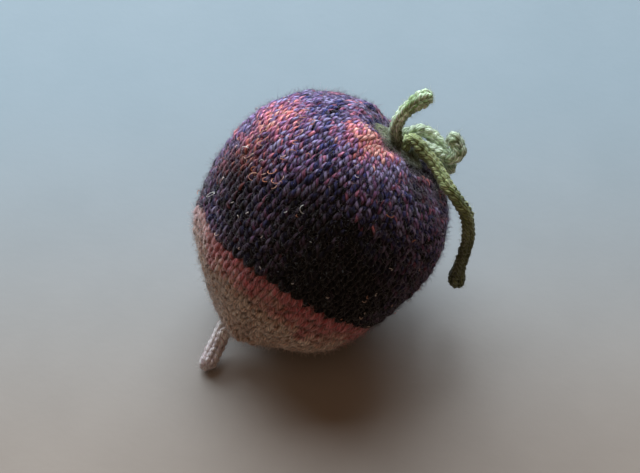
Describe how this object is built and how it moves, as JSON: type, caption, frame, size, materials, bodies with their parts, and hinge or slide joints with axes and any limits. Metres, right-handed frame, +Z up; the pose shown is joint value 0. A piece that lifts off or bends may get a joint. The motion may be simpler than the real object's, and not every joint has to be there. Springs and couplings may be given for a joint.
{
  "type": "knitted toy beetroot",
  "caption": "Stuffed knitted toy beetroot in two yarns, with a short knitted root and curling green knitted stems on its crown.",
  "frame": {"origin": "the point of the flat resting spot that is straight below the ball's centre", "axes": "+Z up from the surface it lies on; the line from root to crown rises 39 degrees, turned 30 degrees from +X towards +Y"},
  "size_m": [0.085, 0.0757, 0.0781],
  "materials": {
    "marled_yarn": "matt woollen yarn, marled navy, purple and salmon",
    "pink_and_cream_yarn": "matt woollen yarn, dusty pink fading to cream",
    "fibre_filling": "loose white fibre",
    "green_yarn": "matt woollen yarn, sage to olive green",
    "root_yarn": "matt woollen yarn, pale pinkish white"
  },
  "bodies": {
    "root": {"dark_cover": "marled_yarn", "pale_cover": "pink_and_cream_yarn", "stuffing": "fibre_filling", "crown_patch": "green_yarn", "root_cord": "root_yarn", "upright_stem": "green_yarn", "trailing_stem": "green_yarn", "arched_stem": "green_yarn", "hooked_stem": "green_yarn"}
  },
  "joints": []
}
